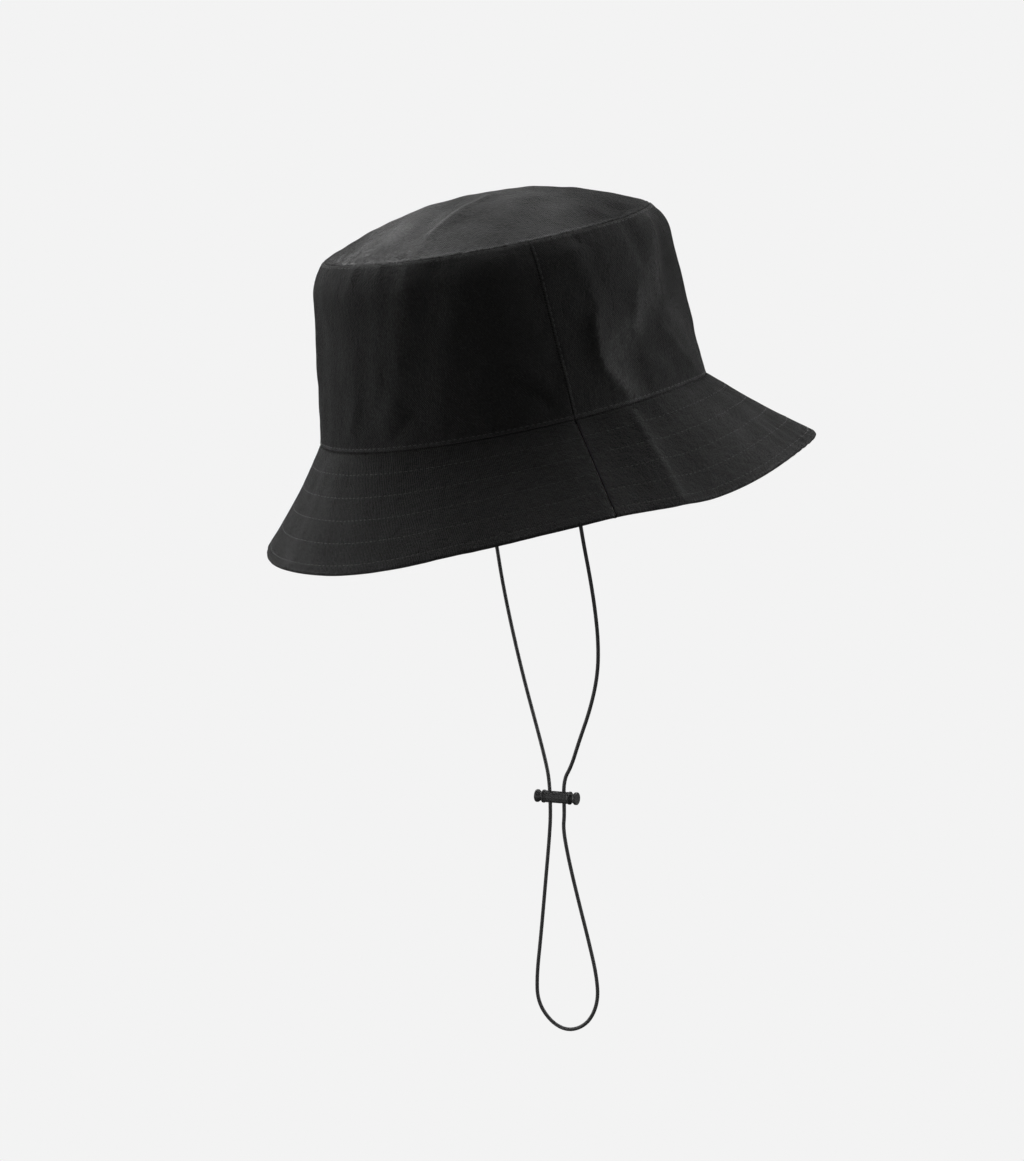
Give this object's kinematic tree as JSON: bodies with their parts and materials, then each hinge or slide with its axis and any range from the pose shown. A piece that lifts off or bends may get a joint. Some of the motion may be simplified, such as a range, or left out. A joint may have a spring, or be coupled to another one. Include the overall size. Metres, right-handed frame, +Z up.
{
  "type": "bucket hat",
  "caption": "Black cotton twill bucket hat with rows of stitching round its sloping brim, and an elastic chin cord with a push-button cord lock.",
  "frame": {"origin": "centre of the head opening, level with the seam between crown and brim", "axes": "+Z up the crown, -Y towards the front of the hat, +X towards the wearer's left"},
  "size_m": [0.2674, 0.2908, 0.4426],
  "materials": {
    "twill": "black cotton twill, slightly napped",
    "thread": "black polyester thread",
    "stiffener": "non-woven interlining",
    "lining": "thin plain-weave lining",
    "sweatband": "ribbed cotton tape",
    "tape": "twill tape",
    "elastic_cord": "braided elastic",
    "lock_plastic": "satin moulded plastic",
    "button_plastic": "satin moulded plastic",
    "spring_steel": "spring wire"
  },
  "bodies": {
    "hat": {"crown_tip": "twill", "crown_front": "twill", "crown_back": "twill", "brim_top_front": "twill", "brim_top_back": "twill", "brim_under_front": "twill", "brim_under_back": "twill", "brim_stiffener_front": "stiffener", "brim_stiffener_back": "stiffener", "lining_tip": "lining", "lining_front": "lining", "lining_back": "lining", "sweatband": "sweatband", "cord_tab_left": "tape", "cord_tab_right": "tape", "chin_cord_left": "elastic_cord", "chin_cord_right": "elastic_cord", "chin_cord_loop": "elastic_cord"},
    "cord_lock": {"lock_barrel": "lock_plastic", "lock_spring": "spring_steel"},
    "button_left": {"lock_button_left": "button_plastic"},
    "button_right": {"lock_button_right": "button_plastic"}
  },
  "joints": [
    {"name": "lock_slide", "type": "slide", "parent": "hat", "child": "cord_lock", "axis": [0.02, 0.1498, 0.9885], "range_m": [-0.05, 0.1], "deforming": ["chin_cord_left", "chin_cord_right", "chin_cord_loop"]},
    {"name": "button_left_press", "type": "slide", "parent": "cord_lock", "child": "button_left", "axis": [-0.702, -0.702, 0.1203], "range_m": [0, 0.001], "stiffness_N_per_m": 800, "springref_m": -0.004, "deforming": ["lock_spring"]},
    {"name": "button_right_press", "type": "slide", "parent": "cord_lock", "child": "button_right", "axis": [0.702, 0.702, -0.1203], "range_m": [0, 0.001], "stiffness_N_per_m": 800, "springref_m": -0.004, "deforming": ["lock_spring"]}
  ]
}
